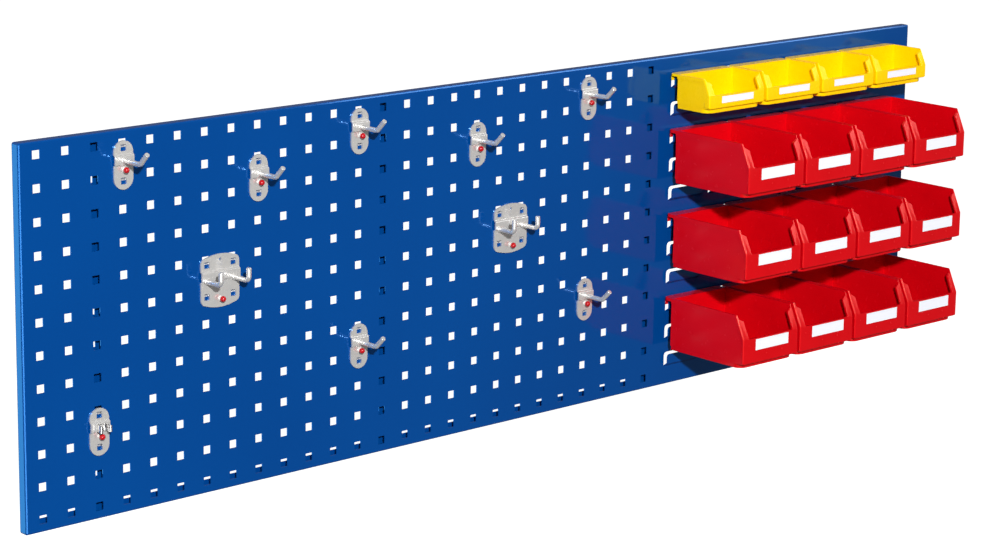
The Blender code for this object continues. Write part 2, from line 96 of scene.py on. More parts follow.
DOUBLE_PLUG_DROP = 0.047
CLIP_HEIGHT = 0.008
CLIP_SHEET = 0.0008
RIVET_HOLE = 0.0044

# Bins: heights are measured down from the rim, reaches out from the panel's front face
BIN_WIDTH = 0.105
BIN_BACK = 0.0165
LIP_BACK = 0.0016
RETURN = 0.0024
RETURN_DROP = 0.0065
LIP_CORNER = 0.0065
WING = 0.010
RED_BIN = {
    "lip": 0.0042,
    "wall": 0.0023,
    "rim_front": 0.1360,
    "front": 0.1505,
    "sill": 0.0310,
    "underside": 0.0650,
    "foot": 0.0710,
    "foot_set_back": 0.0060,
    "label": (0.0240, 0.0870, 0.0332, 0.0480),
    "rim_band": 0.0065,
    "post": 0.0030,
}
YELLOW_BIN = {
    "lip": 0.0032,
    "wall": 0.0020,
    "rim_front": 0.0655,
    "front": 0.0760,
    "sill": 0.0215,
    "underside": 0.0390,
    "foot": 0.0455,
    "foot_set_back": 0.0045,
    "label": (0.0240, 0.0840, 0.0236, 0.0326),
    "rim_band": 0.0055,
    "post": 0.0105,
}

# A tolerance on places, how far cutters run past a surface, and the reach of cutters through a plate
TINY = 1e-6
OVER = 0.004
THROUGH = (-0.01, 0.02)


# ---------------------------------------------------------------- materials


class Finish:
    """A principled material with a short way to add nodes."""

    def __init__(self, name, **sockets):
        self.material = bpy.data.materials.new(name)
        self.material.use_nodes = True
        self.tree = self.material.node_tree
        self.shader = self.tree.nodes["Principled BSDF"]
        self.place = self.node("ShaderNodeTexCoord").outputs["Object"]
        for socket, value in sockets.items():
            self.shader.inputs[socket.replace("_", " ")].default_value = value

    def node(self, kind, **settings):
        made = self.tree.nodes.new(kind)
        for setting, value in settings.items():
            setattr(made, setting, value)
        return made

    def join(self, output, socket):
        self.tree.links.new(output, socket)

    def noise(self, scale, detail=2.0, roughness=0.5, stretch=None):
        made = self.node("ShaderNodeTexNoise")
        made.inputs["Scale"].default_value = scale
        made.inputs["Detail"].default_value = detail
        made.inputs["Roughness"].default_value = roughness
        place = self.place
        if stretch is not None:
            mapping = self.node("ShaderNodeMapping")
            mapping.inputs["Scale"].default_value = stretch
            self.join(place, mapping.inputs["Vector"])
            place = mapping.outputs["Vector"]
        self.join(place, made.inputs["Vector"])
        return made.outputs["Fac"]

    def span(self, value, low, high, from_low=0.3, from_high=0.7):
        made = self.node("ShaderNodeMapRange")
        made.inputs["From Min"].default_value = from_low
        made.inputs["From Max"].default_value = from_high
        made.inputs["To Min"].default_value = low
        made.inputs["To Max"].default_value = high
        self.join(value, made.inputs["Value"])
        return made.outputs["Result"]

    def blend(self, factor, first, second):
        made = self.node("ShaderNodeMix", data_type="RGBA")
        for colour, socket in ((first, made.inputs[6]), (second, made.inputs[7])):
            if isinstance(colour, tuple):
                socket.default_value = (*colour, 1.0)
            else:
                self.join(colour, socket)
        self.join(factor, made.inputs[0])
        return made.outputs[2]

    def colour(self, output):
        self.join(output, self.shader.inputs["Base Color"])

    def roughness(self, output):
        self.join(output, self.shader.inputs["Roughness"])

    def bump(self, *layers):
        """Layers of (height output, distance, strength), the last one outermost."""
        normal = None
        for height, distance, strength in layers:
            made = self.node("ShaderNodeBump")
            made.inputs["Distance"].default_value = distance
            made.inputs["Strength"].default_value = strength
            self.join(height, made.inputs["Height"])
            if normal is not None:
                self.join(normal, made.inputs["Normal"])
            normal = made.outputs["Normal"]
        self.join(normal, self.shader.inputs["Normal"])


def powder_coat():
    finish = Finish("blue_powder_coat", Specular_IOR_Level=1.0, Specular_Tint=(0.10, 0.42, 1.0, 1.0))
    cloud = finish.span(finish.noise(3.0, 3.0), 0.0, 1.0)
    finish.colour(finish.blend(cloud, (0.0, 0.048, 0.232), (0.0, 0.055, 0.256)))
    finish.roughness(finish.span(finish.noise(60.0, 4.0, 0.6), 0.06, 0.10))
    finish.bump((finish.noise(650.0, 1.0), 0.00003, 0.12), (finish.noise(70.0, 2.0), 0.0001, 0.05))
    return finish.material


def zinc():
    finish = Finish("zinc_plate", Metallic=0.5)
    cloud = finish.span(finish.noise(120.0, 3.0), 0.0, 1.0)
    grain = finish.span(finish.noise(500.0, 2.0, 0.5, (1.0, 1.0, 0.3)), 0.0, 1.0)
    warm = finish.blend(cloud, (0.70, 0.68, 0.65), (0.65, 0.645, 0.64))
    finish.colour(finish.blend(grain, warm, (0.71, 0.695, 0.67)))
    finish.roughness(finish.span(finish.noise(300.0, 3.0), 0.14, 0.20))
    finish.bump((finish.noise(900.0, 2.0), 0.00002, 0.08), (finish.noise(160.0, 2.0), 0.00006, 0.08))
    return finish.material


def spring_steel():
    finish = Finish("spring_steel", Metallic=1.0)
    grain = finish.span(finish.noise(700.0, 3.0, 0.6, (1.0, 1.0, 0.1)), 0.0, 1.0)
    finish.colour(finish.blend(grain, (0.62, 0.61, 0.60), (0.74, 0.73, 0.72)))
    finish.roughness(finish.span(finish.noise(400.0, 3.0), 0.14, 0.26))
    finish.bump((finish.noise(1200.0, 2.0), 0.00002, 0.2))
    return finish.material


def plastic(name, dark, light, rough, tint):
    finish = Finish(name, Specular_IOR_Level=0.35, Specular_Tint=tint)
    flow = finish.span(finish.noise(14.0, 3.0, 0.5, (1.0, 0.5, 1.0)), 0.0, 1.0)
    finish.colour(finish.blend(flow, dark, light))
    finish.roughness(finish.span(finish.noise(90.0, 4.0, 0.6), rough - 0.03, rough + 0.03))
    finish.bump((finish.noise(1500.0, 2.0), 0.00003, 0.05), (finish.noise(35.0, 1.0), 0.0003, 0.04))
    return finish.material


def plug_plastic():
    """Red beyond the neck, pale on the neck and the shank."""
    finish = Finish("red_plug_plastic", Specular_IOR_Level=0.5)
    split = finish.node("ShaderNodeSeparateXYZ")
    finish.join(finish.place, split.inputs[0])
    flow = finish.span(finish.noise(200.0, 2.0), 0.0, 1.0)
    red = finish.blend(flow, (0.44, 0.002, 0.006), (0.52, 0.003, 0.008))
    neck_end = -(2 * GAP + PLATE + 0.0019)
    pale = finish.span(split.outputs["Y"], 1.0, 0.0, neck_end - 0.0002, neck_end)
    finish.colour(finish.blend(pale, (0.70, 0.68, 0.66), red))
    finish.roughness(finish.span(finish.noise(600.0, 2.0), 0.20, 0.28))
    finish.bump((finish.noise(1500.0, 2.0), 0.00003, 0.10))
    return finish.material


def card_stock():
    finish = Finish("label_card", Specular_IOR_Level=0.3)
    fibre = finish.span(finish.noise(900.0, 4.0, 0.7), 0.0, 1.0)
    finish.colour(finish.blend(fibre, (0.84, 0.85, 0.93), (0.90, 0.91, 0.97)))
    finish.roughness(finish.span(finish.noise(500.0, 3.0), 0.55, 0.75))
    finish.bump((finish.noise(1200.0, 3.0), 0.00003, 0.3))
    return finish.material


# ---------------------------------------------------------------- mesh building


def spot(plane, u, v, w):
    """A point (u, v) of an outline that lies across X, faces Y or lies flat; w is its place on that axis."""
    return {"across": (w, -u, v), "facing": (u, -w, v), "upright": (u, -v, w)}[plane]


def prism(plane, outline, low, high):
    """The outline extruded from low to high along its plane's axis."""
    made = bmesh.new()
    lower = [made.verts.new(spot(plane, u, v, low)) for u, v in outline]
    upper = [made.verts.new(spot(plane, u, v, high)) for u, v in outline]
    made.faces.new(lower)
    made.faces.new(upper)
    for i in range(len(outline)):
        j = (i + 1) % len(outline)
        made.faces.new((lower[i], lower[j], upper[j], upper[i]))
    bmesh.ops.recalc_face_normals(made, faces=made.faces)
    return made


def soften(made, chosen, offset, segments=3):
    """Rounds the edges that chosen(first point, second point) picks."""
    edges = [e for e in made.edges if chosen(e.verts[0].co, e.verts[1].co)]
    bmesh.ops.bevel(
        made, geom=edges, offset=offset, segments=segments, profile=0.5, affect="EDGES", clamp_overlap=True
    )
    bmesh.ops.recalc_face_normals(made, faces=made.faces)
    return made


def as_mesh(made, name):
    mesh = bpy.data.meshes.new(name)
    made.to_mesh(mesh)
    made.free()
    return mesh


def helper(mesh):
    obj = bpy.data.objects.new(mesh.name, mesh)
    bpy.context.scene.collection.objects.link(obj)
    return obj


def combined(name, base, *steps):
    """The base bmesh after Boolean steps of (operation, bmesh)."""
    body = helper(as_mesh(base, name))
    tools = []
    for operation, tool in steps:
        tools.append(helper(as_mesh(tool, "tool")))
        step = body.modifiers.new(operation, "BOOLEAN")
        step.operation = operation
        step.solver = "EXACT"
        step.object = tools[-1]
    bpy.context.view_layer.update()
    mesh = bpy.data.meshes.new_from_object(body.evaluated_get(bpy.context.evaluated_depsgraph_get()))
    for obj in [body, *tools]:
        bpy.data.objects.remove(obj, do_unlink=True)
    result = bmesh.new()
    result.from_mesh(mesh)
    bpy.data.meshes.remove(mesh)
    bmesh.ops.remove_doubles(result, verts=result.verts, dist=2 * TINY)
    bmesh.ops.dissolve_degenerate(result, edges=result.edges, dist=2 * TINY)
    bmesh.ops.recalc_face_normals(result, faces=result.faces)
    return result


def shaded(made, name, angle=32):
    mesh = as_mesh(made, name)
    mesh.shade_smooth()
    mesh.set_sharp_from_angle(angle=math.radians(angle))
    return mesh


def piece(name, mesh, body, material, slot, place, *nodes):
    """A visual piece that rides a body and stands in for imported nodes."""
    obj = bpy.data.objects.new(name, mesh)
    obj.location = place
    bpy.context.scene.collection.objects.link(obj)
    if not mesh.materials:
        mesh.materials.append(material)
    even = obj.modifiers.new("even_normals", "WEIGHTED_NORMAL")
    even.keep_sharp = True
    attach(obj, body)
    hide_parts(*nodes)


def numbered(prefix):
    """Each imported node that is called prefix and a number, with that number."""
    for node in sorted(NODES):
        number = node.removeprefix(prefix)
        if node.startswith(prefix) and number.isdigit():
            yield node, number


def arc(centre, radius, start, end, steps):
    """Points of an arc in degrees, ends included."""
    turns = [math.radians(start + (end - start) * i / steps) for i in range(steps + 1)]
    return [(centre[0] + radius * math.cos(t), centre[1] + radius * math.sin(t)) for t in turns]


def rounded_box(low_u, high_u, low_v, high_v, radius, steps=4):
    """Outline of a rectangle with rounded corners."""
    return (
        arc((high_u - radius, high_v - radius), radius, 0, 90, steps)
        + arc((low_u + radius, high_v - radius), radius, 90, 180, steps)
        + arc((low_u + radius, low_v + radius), radius, 180, 270, steps)
        + arc((high_u - radius, low_v + radius), radius, 270, 360, steps)
    )


def tube(points, radius, steps=20, rounding=0.0008):
    """A round bar along the points, with a rounded far end."""
    made = bmesh.new()
    path = [Vector(p) for p in points]
    last = (path[-1] - path[-2]).normalized()
    rings = [(p, radius) for p in path[:-1]]
    for turn in (0, 30, 60, 90):
        t = math.radians(turn)
        short, shrink = rounding * (1 - math.sin(t)), rounding * (1 - math.cos(t))
        rings.append((path[-1] - last * short, radius - shrink))
    side = Vector((1, 0, 0))
    loops = []
    for i, (centre, size) in enumerate(rings):
        before, after = rings[max(i - 1, 0)][0], rings[min(i + 1, len(rings) - 1)][0]
        along = (after - before).normalized()
        if i >= len(path) - 1:
            along = last
        up = along.cross(side).normalized()
        loops.append([
            made.verts.new(centre + size * (math.cos(a) * side + math.sin(a) * up))
            for a in (2 * math.pi * k / steps for k in range(steps))
        ])
    for first, second in zip(loops, loops[1:]):
        for k in range(steps):
            n = (k + 1) % steps
            made.faces.new((first[k], first[n], second[n], second[k]))
    made.faces.new(loops[0])
    made.faces.new(loops[-1])
    bmesh.ops.recalc_face_normals(made, faces=made.faces)
    return made


def lathe(profile, steps=32):
    """A solid of revolution about -Y; the profile lists (out, radius)."""
    made = bmesh.new()
    rings = []
    for out, radius in profile:
        if radius == 0:
            rings.append([made.verts.new((0, -out, 0))])
            continue
        rings.append([
            made.verts.new((radius * math.cos(a), -out, radius * math.sin(a)))
            for a in (2 * math.pi * k / steps for k in range(steps))
        ])
    for first, second in zip(rings, rings[1:]):
        for k in range(steps):
            n = (k + 1) % steps
            corners = [first[k % len(first)], first[n % len(first)]]
            corners += [second[n % len(second)], second[k % len(second)]]
            unique = list(dict.fromkeys(corners))
            if len(unique) > 2:
                made.faces.new(unique)
    bmesh.ops.recalc_face_normals(made, faces=made.faces)
    return made


# ---------------------------------------------------------------- bins


def cut_slope(size):
    """How far the cut of a bin's sides moves outward for each metre that it climbs."""
    return (size["rim_front"] - size["front"]) / size["sill"]


def along_cut(size, thickness):
    """The outward width of something of this thickness that lies along the cut."""
    return thickness * math.hypot(1, cut_slope(size))


def bin_shell(size):
    """The bin's outside as a solid block, rounded down its front corners and along its bottom edge."""
    front, under = size["front"], -size["underside"]
    inset, corner, edge = 0.0008, 0.0022, 0.0012
    outline = [(BIN_BACK, 0), (size["rim_front"], 0), (front, -size["sill"])]
    outline += [(front, under), (BIN_BACK, under)]
    shell = prism("across", outline, inset, BIN_WIDTH - inset)
    soften(shell, lambda a, b: abs(a.x - b.x) < TINY and max(a.y, b.y) < TINY - front, corner)
    return soften(shell, lambda a, b: max(a.z, b.z) < under + TINY and max(a.y, b.y) < 0.003 - front, edge)


def bin_sides(size):
    """Both side walls' raised parts: a band under the rim, a bead down the cut and a post at the front."""
    rim_front, front, post = size["rim_front"], size["front"], size["front"] - size["post"]
    sill, band, step = -size["sill"], -size["rim_band"], 0.001
    bead, bottom, thick = along_cut(size, 0.0034), step - size["underside"], size["wall"] + 0.0004
    outline = [
        (BIN_BACK, 0), (rim_front, 0), (front, sill), (front, bottom), (post, bottom),
        (post, min(sill, band) - step), (min(rim_front - bead, post - step), band), (BIN_BACK, band),
    ]
    sides = []
    for low, outer in ((0, 0), (BIN_WIDTH - thick, BIN_WIDTH)):
        side = prism("across", outline, low, low + thick)

        def on_cut(a, b):
            return max(abs(a.x - outer), abs(b.x - outer)) < TINY and max(a.y, b.y) < TINY - rim_front

        sides.append(soften(side, on_cut, 0.0018, 4))
    return sides


def bin_cavity(size):
    """The cutter for the hollow, with its edges below the sill rounded."""
    wall, rim_front, front = size["wall"], size["rim_front"], size["front"]
    sill, floor, back, hold = -size["sill"], wall - size["underside"], BIN_BACK + wall, along_cut(size, wall)
    outline = [
        (back, OVER), (rim_front - hold + cut_slope(size) * OVER, OVER), (front - hold, sill),
        (front - hold, floor), (back, floor),
    ]
    cavity = prism("across", outline, wall, BIN_WIDTH - wall)
    return soften(cavity, lambda a, b: max(a.z, b.z) < sill + TINY and (a - b).length > 0.001, 0.0022)


def bin_throat(size):
    """The cutter for the opening between the front's two wings."""
    wall, sill, corner = size["wall"], -size["sill"], 0.0018
    left = [(wall, OVER), (wall, 0.15 * sill), (WING, 0.30 * sill)]
    left += arc((WING + corner, sill + corner), corner, 180, 270, 3)
    outline = left + [(BIN_WIDTH - x, z) for x, z in reversed(left)]
    return prism("facing", outline, size["rim_front"] - 4 * wall, size["front"] + OVER)


def bin_lip(size):
    """The rear lip that hooks over a louvre: level, with its rear edge turned down."""
    near, far, side = LIP_CORNER, BIN_WIDTH - LIP_CORNER, 0.0004
    turn, reach = near - 0.0002, BIN_BACK + 0.5 * size["wall"]
    under, bottom = -size["lip"], -size["lip"] - RETURN_DROP
    plan = [(side, reach)] + arc((near, LIP_BACK + near), turn, 180, 270, 8)
    plan += arc((far, LIP_BACK + near), turn, 270, 360, 8) + [(BIN_WIDTH - side, reach)]
    lip = prism("upright", plan, bottom, 0)
    soften(lip, lambda a, b: min(a.z, b.z) > -TINY and min(a.y, b.y) > TINY - reach, 0.0009)
    inner, outer = LIP_BACK + RETURN, reach + OVER
    below = [(inner, under), (inner, bottom - OVER), (outer, bottom - OVER), (outer, under)]
    return combined("lip", lip, ("DIFFERENCE", prism("across", below, -OVER, BIN_WIDTH + OVER)))


def bin_foot(size):
    """The set-back foot under the bin, with round front corners."""
    side, turn, foot = 0.0012, 0.012, -size["foot"]
    front, back = size["front"] - size["foot_set_back"], BIN_BACK + side
    plan = [(side, back)] + arc((side + turn, front - turn), turn, 180, 90, 6)
    plan += arc((BIN_WIDTH - side - turn, front - turn), turn, 90, 0, 6) + [(BIN_WIDTH - side, back)]
    stand = prism("upright", plan, foot, 0.5 * size["wall"] - size["underside"])
    return soften(stand, lambda a, b: max(a.z, b.z) < foot + TINY, 0.0010)


def label_outline(size, grow, corner):
    """A bin's label card seen from the front, grown by so much on each side."""
    x_low, x_high, z_low, z_high = size["label"]
    return rounded_box(x_low - grow, x_high + grow, -z_high - grow, -z_low + grow, corner)


def bin_shape(name, size):
    """Bin with a stiffened rim, a raised bead down each cut, wings, a hooking lip and a foot."""
    pocket = prism("facing", label_outline(size, GAP, 0.0006), size["front"] - 0.0011, size["front"] + OVER)
    raised = [("UNION", side) for side in bin_sides(size)]
    made = combined(
        name, bin_shell(size), ("UNION", bin_foot(size)), *raised, ("DIFFERENCE", bin_cavity(size)),
        ("DIFFERENCE", bin_throat(size)), ("UNION", bin_lip(size)), ("DIFFERENCE", pocket),
    )
    return shaded(made, name)


def card_shape(name, size):
    face = size["front"] - GAP
    card = prism("facing", label_outline(size, 0, 0.0005), size["front"] - 0.0008, face)
    soften(card, lambda a, b: max(a.y, b.y) < TINY - face, 0.00012, 2)
    return shaded(card, name)


def make_bins(colour, size, material, card_material):
    mesh, card = bin_shape(f"{colour}_bin_shape", size), card_shape(f"{colour}_card_shape", size)
    for node, number in numbered(f"{colour}_bin_"):
        low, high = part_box(node)
        place, label = (low.x, PANEL_FRONT, high.z), f"{colour}_bin_label_{number}"
        piece(f"{colour}_bin_moulding_{number}", mesh, node, material, f"{colour}_bin", place, node)
        piece(f"{colour}_bin_card_{number}", card, node, card_material, "label_card", place, label)


# ---------------------------------------------------------------- holders


def holder_section(low_x, high_x, top, bottom):
    """The plate's pressed section, with rounded shoulders at its raised band."""
    slope, steps = 0.0024, 6
    climb = [i / steps for i in range(steps + 1)]
    line = [(0.0, top)]
    for edge, sign, shares in ((BAND_TOP, -1, climb), (BAND_BOTTOM, 1, reversed(climb))):
        for share in shares:
            line.append((BAND_RISE * (3 * share ** 2 - 2 * share ** 3), edge + sign * slope * share))
    line.append((0.0, bottom))
    front = [(GAP + PLATE + rise, height) for rise, height in line]
    back = [(GAP + rise, height) for rise, height in reversed(line)]
    return prism("across", front + back, low_x, high_x)


def window(x, z):
    """The cutter for the square window whose claw goes into the panel hole at (x, z)."""
    reach, middle, corner = WINDOW / 2, z - WINDOW_DROP, 0.0007
    outline = rounded_box(x - reach, x + reach, middle - reach, middle + reach, corner)
    return prism("facing", outline, *THROUGH)


def bore(x, z, diameter):
    return prism("facing", arc((x, z), diameter / 2, 0, 345, 23), *THROUGH)


def claw(x, z):
    """The tab bent back from a window's top edge, sloping through the panel and down behind the sheet."""
    seat, edge = z - HOLE / 2 + GAP, z - WINDOW_DROP + WINDOW / 2 + 0.0002
    behind, turn, top = SHEET + GAP, 0.0016, edge + 0.0010
    outline = [(-behind - 0.0006, seat), (-0.0002, edge), (GAP + 0.0004, edge), (GAP + 0.0004, top)]
    outline += arc((-behind - PLATE + turn, top - turn), turn, 90, 180, 4)
    outline += [(-behind - PLATE, seat - CLAW_DROP), (-behind, seat - CLAW_DROP), (-behind, seat)]
    return prism("across", outline, x - 0.0044, x + 0.0046)


def weld(x, height):
    """The small fillet where a rod meets its plate."""
    face, radius = GAP + PLATE + BAND_RISE, ROD / 2
    profile = [
        (face - 0.0006, 0), (face - 0.0006, radius + 0.0010), (face + 0.0001, radius + 0.0010),
        (face + 0.0005, radius + 0.0004), (face + 0.0012, radius - 0.0002), (face + 0.0012, 0),
    ]
    made = lathe(profile, 24)
    bmesh.ops.translate(made, verts=made.verts, vec=(x, 0, height))
    return made


def holder(name, outline, span, windows, bores, rods, welds):
    """A plate with windows, bores, claws and welded rods; span is its section's middle and half width."""
    middle, reach = span
    sheet = holder_section(middle - reach, middle + reach, 0.03, -0.08)
    cuts = [("INTERSECT", prism("facing", outline, *THROUGH))]
    cuts += [("DIFFERENCE", window(x, z)) for x, z in windows]
    cuts += [("DIFFERENCE", bore(*b)) for b in bores]
    plate = combined(name, sheet, *cuts)
    adds = [("UNION", claw(x, z)) for x, z in windows]
    adds += [("UNION", rod) for rod in rods]
    adds += [("UNION", weld(x, z)) for x, z in welds]
    return shaded(combined(name, plate, *adds), name, 40)


def single_outline():
    reach = PLATE_WIDTH / 2
    top = arc((0, PLATE_TOP - reach), reach, 0, 180, 32)
    return top + arc((0, PLATE_BOTTOM + reach), reach, 180, 360, 32)


def double_outline():
    """The wide plate: a crowned top and bottom with rounded shoulders, the same upside down."""
    half, shoulder, drop, steps = DOUBLE_WIDTH / 2, 0.021, 0.0075, 12

    def crown(x):
        return DOUBLE_HALF_HEIGHT - DOUBLE_CROWN * (x / half) ** 2

    base = crown(shoulder) - drop
    turns = [math.radians(angle) for angle in range(0, 90, 9)]
    corner = [(shoulder + (half - shoulder) * math.cos(t), base + drop * math.sin(t)) for t in turns]
    across = [shoulder * i / steps for i in range(steps - 1, -steps, -1)]
    upper = corner + [(x, crown(x)) for x in across] + [(-x, z) for x, z in reversed(corner)]
    return [(x + PITCH / 2, z - DOUBLE_CENTRE_DROP) for x, z in upper + [(-x, -z) for x, z in upper]]


def bent_rod(x, drop, reach, rise, angle, steps):
    """A rod that leaves its plate level and turns up by an angle in degrees, to end rise higher."""
    bend, turn = 0.006, math.radians(angle)
    swing = arc((reach - bend * math.tan(turn / 2), bend - drop), bend, -90, angle - 90, steps)
    root, end = GAP + BAND_RISE + 0.5 * PLATE, reach + rise / math.tan(turn)
    return tube([(x, -out, z) for out, z in [(root, -drop), *swing, (end, rise - drop)]], ROD / 2)


def make_single_hooks(material):
    rod = bent_rod(0, ROD_DROP, ROD_REACH, ROD_RISE, 45, 8)
    hook = holder(
        "single_hook_shape", single_outline(), (0, 0.03), [(0, 0), (0, -PITCH)],
        [(0, -PLUG_DROP, PLUG_HOLE)], [rod], [(0, -ROD_DROP)],
    )
    for node, number in numbered("single_hook_"):
        low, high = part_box(node)
        place = (low.x + PLATE_WIDTH / 2, PANEL_FRONT, high.z - PLATE_TOP)
        piece(f"single_hook_pressing_{number}", hook, node, material, "zinc_plate", place, node)


def make_double_hooks(material):
    middle, prongs = PITCH / 2, [(PITCH + side * DOUBLE_ROD_SPACING) / 2 for side in (-1, 1)]
    rods = [bent_rod(x, DOUBLE_ROD_DROP, DOUBLE_ROD_REACH, DOUBLE_ROD_RISE, 90, 12) for x in prongs]
    hook = holder(
        "double_hook_shape", double_outline(), (middle, 0.04),
        [(x, z) for x in (0, PITCH) for z in (0, -PITCH)],
        [(middle, -DOUBLE_PLUG_DROP, PLUG_HOLE), (middle, 0, 0.003)],
        rods, [(x, -DOUBLE_ROD_DROP) for x in prongs],
    )
    rise = DOUBLE_HALF_HEIGHT - DOUBLE_CENTRE_DROP
    for node, number in numbered("double_hook_"):
        low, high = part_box(node)
        place = (low.x + DOUBLE_WIDTH / 2 - middle, PANEL_FRONT, high.z - rise)
        piece(f"double_hook_pressing_{number}", hook, node, material, "zinc_plate", place, node)


# ---------------------------------------------------------------- tool clip


def clip_leaf(middle, seat):
    """The bent spring, drawn as its centre line in plan and thickened; seat is that line's distance out."""
    half = [(0.0, 0.0), (0.0020, 0.0), (0.0034, 0.0001)]
    half += arc((0.0005, 0.0048), 0.0056, -50, 45, 14) + arc((0.0063, 0.0094), 0.0015, 200, 10, 14)
    line = [(-x, out) for x, out in reversed(half[1:])] + half
    sides = ([], [])
    for i, (x, out) in enumerate(line):
        before, after = line[max(i - 1, 0)], line[min(i + 1, len(line) - 1)]
        along = Vector(after) - Vector(before)
        shift = Vector((-along.y, along.x)).normalized() * CLIP_SHEET / 2
        sides[0].append((x + shift.x, seat + out + shift.y))
        sides[1].append((x - shift.x, seat + out - shift.y))
    outline = sides[0] + sides[1][::-1]
    ribbon = prism("upright", outline, middle - CLIP_HEIGHT / 2, middle + CLIP_HEIGHT / 2)
    return shaded(combined("clip", ribbon, ("DIFFERENCE", bore(0, middle, RIVET_HOLE))), "clip_spring_shape")


def rivet_shape(face):
    """A tubular rivet with a domed head that starts at face and a rolled tail behind the plate."""
    shank, dome, rise = 0.0019, 0.0034, 0.0012
    turns = [math.radians(angle) for angle in range(0, 90, 15)]
    head = [(face, shank)] + [(face + rise * math.sin(t), dome * math.cos(t)) for t in turns]
    head.append((face + rise, 0))
    back, roll, radius = BAND_RISE, 0.0006, 0.0027
    tail = [
        (back - 2 * roll, 0), (back - 2 * roll, radius - 0.0005), (back - roll, radius),
        (back, radius), (back, shank),
    ]
    return shaded(lathe(tail + head, 28), "rivet_shape")


def make_clip(plate_material, spring_material):
    middle = (BAND_TOP + BAND_BOTTOM) / 2
    plate = holder(
        "clip_plate_shape", single_outline(), (0, 0.03), [(0, 0), (0, -PITCH)],
        [(0, -PLUG_DROP, PLUG_HOLE), (0, middle, RIVET_HOLE)], [], [],
    )
    low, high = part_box("tool_clip_plate")
    place = (low.x + PLATE_WIDTH / 2, PANEL_FRONT, high.z - PLATE_TOP)
    piece("tool_clip_pressing", plate, "tool_clip", plate_material, "zinc_plate", place, "tool_clip_plate")
    seat = 2 * GAP + PLATE + BAND_RISE + CLIP_SHEET / 2
    leaf = clip_leaf(middle, seat)
    piece("tool_clip_leaf", leaf, "tool_clip", spring_material, "spring_steel", place, "tool_clip_spring")
    rivet = rivet_shape(seat + CLIP_SHEET / 2 + GAP)
    low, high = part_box("tool_clip_rivet")
    centre = (low + high) / 2
    place = (centre.x, PANEL_FRONT, centre.z)
    piece("tool_clip_rivet_head", rivet, "tool_clip", plate_material, "zinc_plate", place, "tool_clip_rivet")


# ---------------------------------------------------------------- lock plugs


def plug_shape():
    """A lock plug: shank in the plate's bore, thin flange, neck and ball."""
    back, shank, ball = 2 * GAP + PLATE, PLUG_HOLE / 2 - GAP, 0.0036
    centre, neck, flange, edge = back + 0.0050, 0.0018, 0.0032, 0.0002
    profile = [
        (GAP, 0), (GAP, shank - GAP), (2 * GAP, shank), (back, shank),
        (back, flange - edge), (back + edge, flange), (back + 3 * edge, flange),
        (back + 4 * edge, flange - edge), (back + 4 * edge, neck + 2 * edge), (back + 6 * edge, neck),
    ]
    turns = [math.radians(180 - angle) for angle in range(30, 180, 10)]
    profile += [(centre + ball * math.cos(t), ball * math.sin(t)) for t in turns]
    profile.append((centre + ball, 0))
    return shaded(lathe(profile, 36), "plug_shape")


def make_plugs(material):
    mesh = plug_shape()
    for node, number in numbered("lock_plug_"):
        low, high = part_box(node)
        centre = (low + high) / 2
        place = (centre.x, PANEL_FRONT, centre.z)
        piece(f"lock_plug_knob_{number}", mesh, node, material, "red_plug", place, node)


# ---------------------------------------------------------------- stage


def repaint(node, material):
    obj = NODES[node]
    if not obj.material_slots:
        obj.data.materials.append(material)
    for held in obj.material_slots:
        held.material = material


def make_world():
    """White to the camera; else a soft room, brighter behind the wall and above, dark at its right rear."""
    world = bpy.data.worlds.new("studio")
    bpy.context.scene.world = world
    world.use_nodes = True
    tree = world.node_tree
    tree.nodes.clear()
    join = tree.links.new
    place = tree.nodes.new("ShaderNodeTexCoord").outputs["Generated"]
    split = tree.nodes.new("ShaderNodeSeparateXYZ")
    join(place, split.inputs[0])

    def ramp(output, start, end, low, high):
        made = tree.nodes.new("ShaderNodeMapRange")
        made.interpolation_type = "SMOOTHSTEP"
        for socket, value in zip(("From Min", "From Max", "To Min", "To Max"), (start, end, low, high)):
            made.inputs[socket].default_value = value
        join(output, made.inputs["Value"])
        return made.outputs["Result"]

    def multiply(first, second):
        made = tree.nodes.new("ShaderNodeMath")
        made.operation = "MULTIPLY"
        join(first, made.inputs[0])
        join(second, made.inputs[1])
        return made.outputs[0]

    depth = ramp(split.outputs["Y"], -0.3, 0.5, 0.24, 0.42)
    height = ramp(split.outputs["Z"], -0.6, 0.6, 0.75, 1.10)
    lean = tree.nodes.new("ShaderNodeVectorMath")
    lean.operation = "DOT_PRODUCT"
    lean.inputs[1].default_value = (1, 1, 0)
    join(place, lean.inputs[0])
    corner = ramp(lean.outputs["Value"], 0.7, 1.3, 1.0, 0.35)
    soft = tree.nodes.new("ShaderNodeBackground")
    join(multiply(multiply(depth, height), corner), soft.inputs["Strength"])
    plain = tree.nodes.new("ShaderNodeBackground")
    plain.inputs["Strength"].default_value = 1.0
    for background in (soft, plain):
        background.inputs["Color"].default_value = (1, 1, 1, 1)
    path = tree.nodes.new("ShaderNodeLightPath")
    mixed = tree.nodes.new("ShaderNodeMixShader")
    join(path.outputs["Is Camera Ray"], mixed.inputs["Fac"])
    join(soft.outputs[0], mixed.inputs[1])
    join(plain.outputs[0], mixed.inputs[2])
    output = tree.nodes.new("ShaderNodeOutputWorld")
    join(mixed.outputs[0], output.inputs["Surface"])


def area_light(name, place, aim, width, height, watts, colour=(1, 1, 1)):
    light = bpy.data.lights.new(name, "AREA")
    light.shape = "RECTANGLE"
    light.size, light.size_y, light.energy, light.color = width, height, watts, colour
    obj = bpy.data.objects.new(name, light)
    obj.location = place
    obj.rotation_mode = "QUATERNION"
    obj.rotation_quaternion = (Vector(aim) - Vector(place)).to_track_quat("-Z", "Y")
    bpy.context.scene.collection.objects.link(obj)
    obj.visible_camera = False
    return obj


